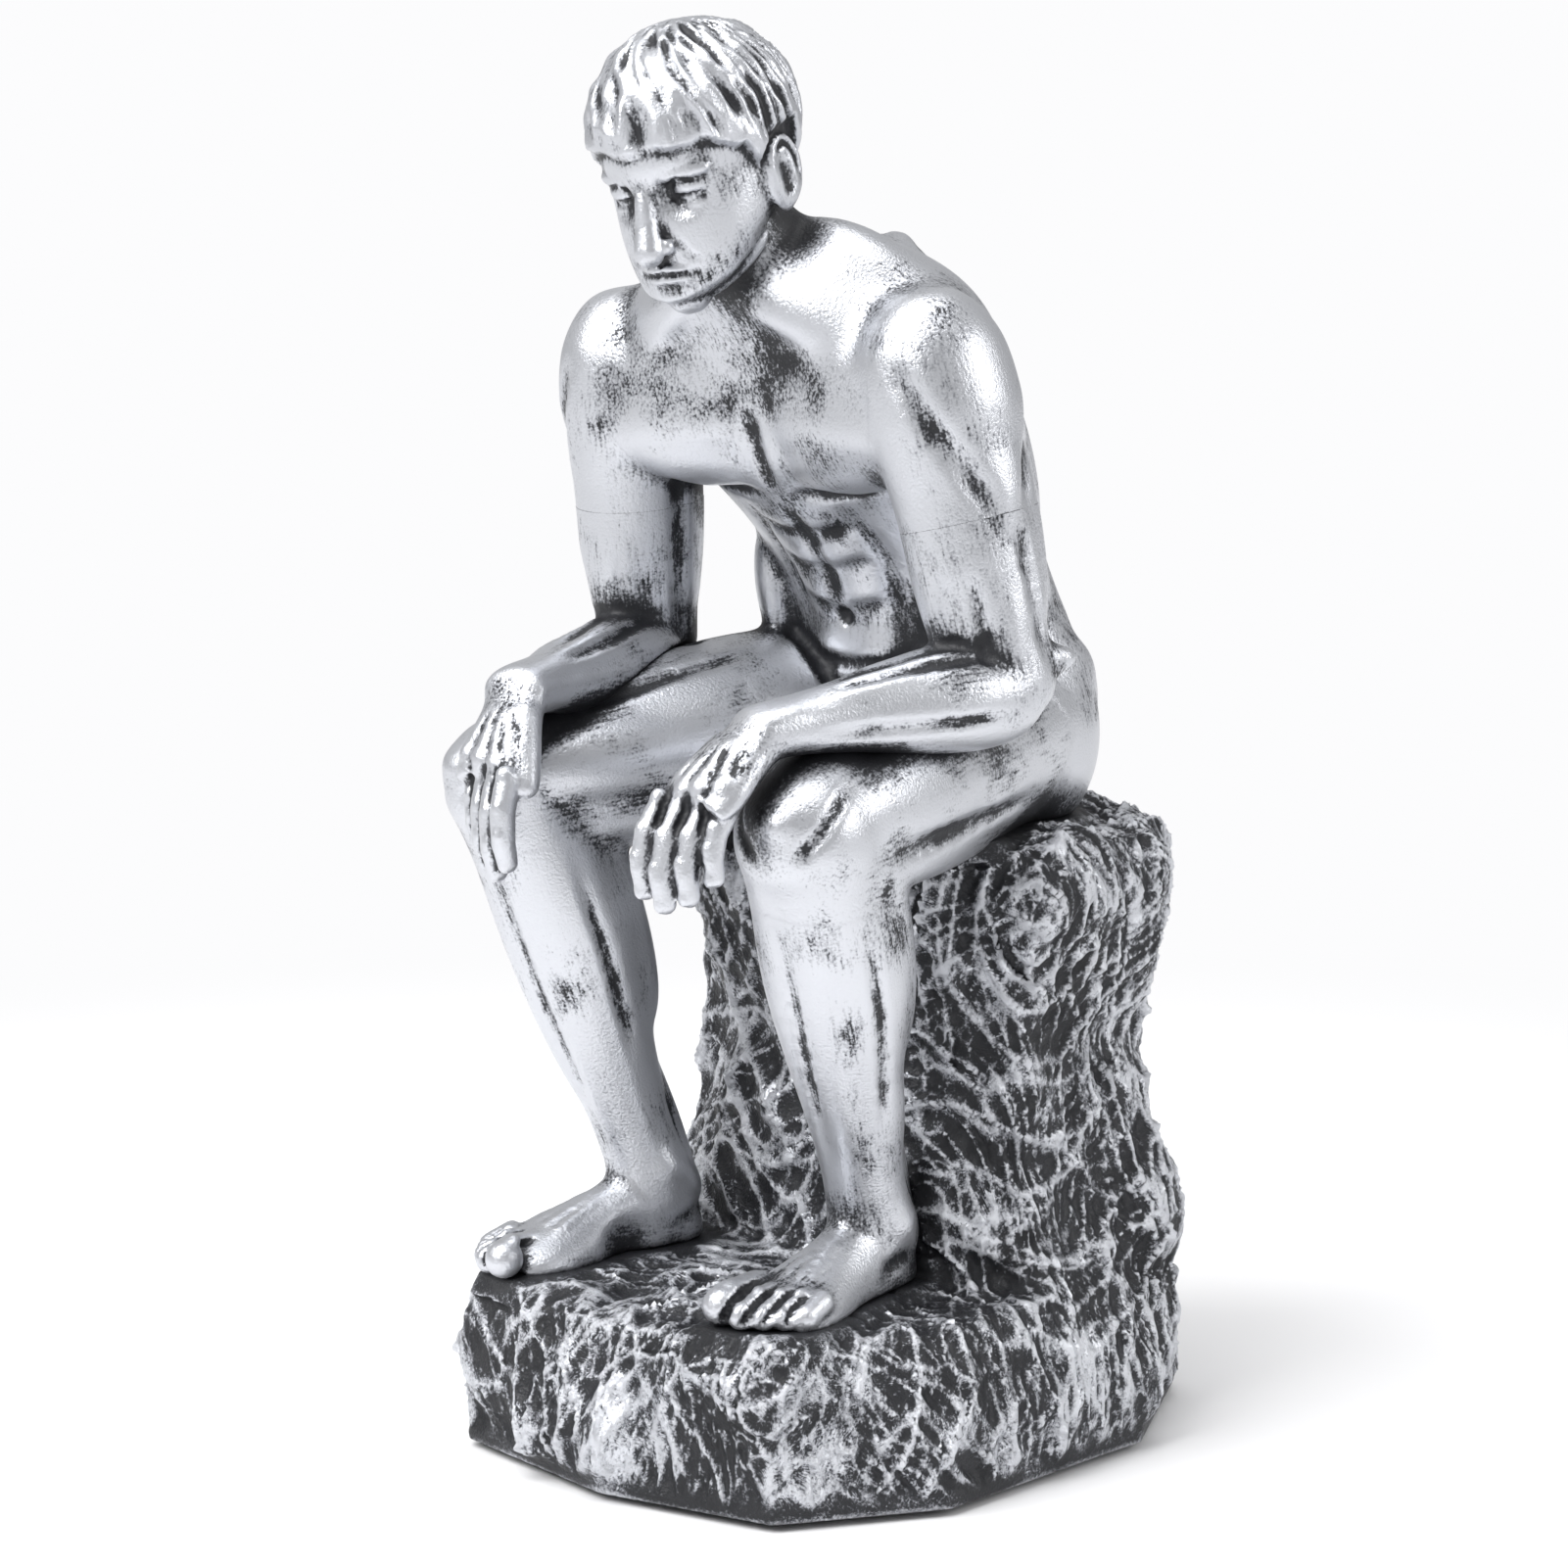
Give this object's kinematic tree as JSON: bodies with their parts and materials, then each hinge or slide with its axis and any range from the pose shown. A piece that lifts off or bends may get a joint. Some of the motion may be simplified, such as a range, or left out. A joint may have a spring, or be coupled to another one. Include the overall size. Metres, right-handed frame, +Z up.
{
  "type": "seated figure statue",
  "caption": "Statue of a man seated on a craggy rock with bowed head, cast in resin with an antique silver finish, to stand on a desk or shelf as an ornament.",
  "frame": {"origin": "middle of the felted underside, on the surface that the statue stands on", "axes": "+Z up, the figure faces -Y, +X is the figure's left side"},
  "size_m": [0.1162, 0.1369, 0.2587],
  "materials": {
    "silvered_resin": "cold-cast resin, silver dry brushed over charcoal",
    "rock_resin": "cold-cast resin, charcoal with silver on the ridges",
    "plate_plastic": "moulded, fine grain",
    "felt": "pressed felt",
    "plated_steel": "zinc plated"
  },
  "bodies": {
    "root": {"torso": "silvered_resin", "head": "silvered_resin", "left_arm": "silvered_resin", "right_arm": "silvered_resin", "left_leg": "silvered_resin", "right_leg": "silvered_resin", "rock_base": "rock_resin", "base_plate": "plate_plastic", "felt_pad": "felt", "neck_dowel": "plated_steel", "arm_dowels": "plated_steel", "leg_dowels": "plated_steel", "foot_dowels": "plated_steel", "seat_stud": "plated_steel", "seat_washer": "plated_steel", "seat_nut": "plated_steel", "base_screws": "plated_steel"}
  },
  "joints": []
}
